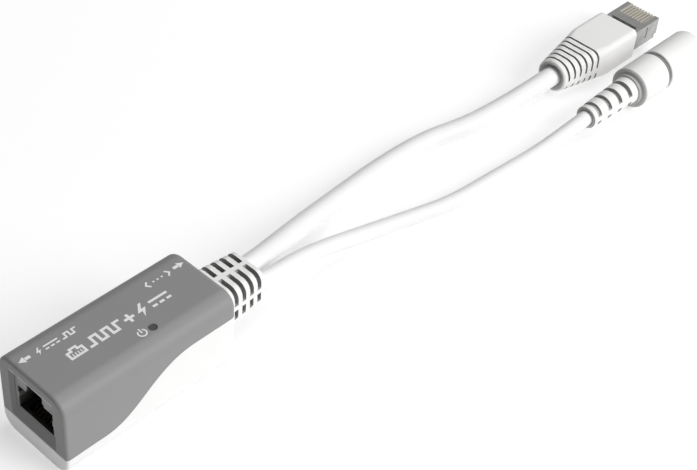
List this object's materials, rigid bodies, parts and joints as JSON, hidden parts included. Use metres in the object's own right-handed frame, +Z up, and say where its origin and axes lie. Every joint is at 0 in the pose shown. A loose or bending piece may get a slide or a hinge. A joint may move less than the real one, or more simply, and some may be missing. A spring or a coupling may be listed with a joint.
{
  "type": "poe injector",
  "caption": "In-line power-over-Ethernet injector: a casing with a network jack at one end and, at the other, a data lead with a network plug and a power lead with a DC socket.",
  "frame": {"origin": "under the casing, midway between its sides, on the surface it stands on", "axes": "+X from the jack to the leads, +Y towards the data lead's side, +Z up"},
  "size_m": [0.2337, 0.0345, 0.0228],
  "materials": {
    "cover_grey": "mid-grey ABS, fine satin spark texture",
    "base_white": "white ABS, fine satin spark texture",
    "boot_white": "white soft PVC, satin",
    "cable_white": "white PVC jacket, smooth satin",
    "clear_pipe": "clear acrylic light pipe",
    "clear_plug": "clear polycarbonate",
    "shield_metal": "nickel-plated stamped sheet",
    "gold_contact": "gold-plated phosphor bronze",
    "tinned_lead": "tinned or nickelled metal",
    "black_moulding": "black glass-filled nylon",
    "ring_grey": "dark grey plastic",
    "board_green": "green solder mask over glass epoxy",
    "chip_tan": "ceramic with tinned ends",
    "chip_black": "black film with tinned ends",
    "led_green": "clear epoxy over a green chip",
    "conductor_insulation": "coloured polyethylene, four pairs",
    "conductor_red": "red PVC",
    "conductor_black": "black PVC"
  },
  "bodies": {
    "injector": {"base_shell": "base_white", "cable_boot": "boot_white", "chip_capacitors": "chip_tan", "chip_resistors": "chip_black", "circuit_board": "board_green", "data_cable": "cable_white", "data_conductors": "conductor_insulation", "dc_centre_pin": "tinned_lead", "dc_front_sleeve": "boot_white", "dc_insulator": "black_moulding", "dc_overmould": "boot_white", "dc_spacer_ring": "ring_grey", "dc_spring_contact": "tinned_lead", "indicator_led": "led_green", "jack_contact_carrier": "black_moulding", "jack_contact_leads": "gold_contact", "jack_housing": "black_moulding", "jack_shield": "shield_metal", "light_pipe": "clear_pipe", "plug_body": "clear_plug", "plug_boot": "boot_white", "plug_conductors": "conductor_insulation", "plug_contacts": "gold_contact", "plug_load_bar": "clear_plug", "plug_shield": "shield_metal", "power_cable": "cable_white", "power_conductor_negative": "conductor_black", "power_conductor_positive": "conductor_red", "pulse_transformer": "black_moulding", "surge_diode": "black_moulding", "top_cover": "cover_grey", "transformer_pins": "tinned_lead"},
    "latch_lever": {"plug_latch": "clear_plug"},
    "contact_springs": {"jack_contact_springs": "gold_contact"}
  },
  "joints": [
    {"name": "latch_press", "type": "hinge", "parent": "injector", "child": "latch_lever", "pos_m": [0.20675, 0.00655, 0.0013], "axis": [0, 1, 0], "range_deg": [0, 6], "stiffness_Nm_per_rad": 0.3},
    {"name": "contact_press", "type": "hinge", "parent": "injector", "child": "contact_springs", "pos_m": [-0.0209, 0, 0.0082], "axis": [0, 1, 0], "range_deg": [0, 12], "stiffness_Nm_per_rad": 0.2}
  ]
}
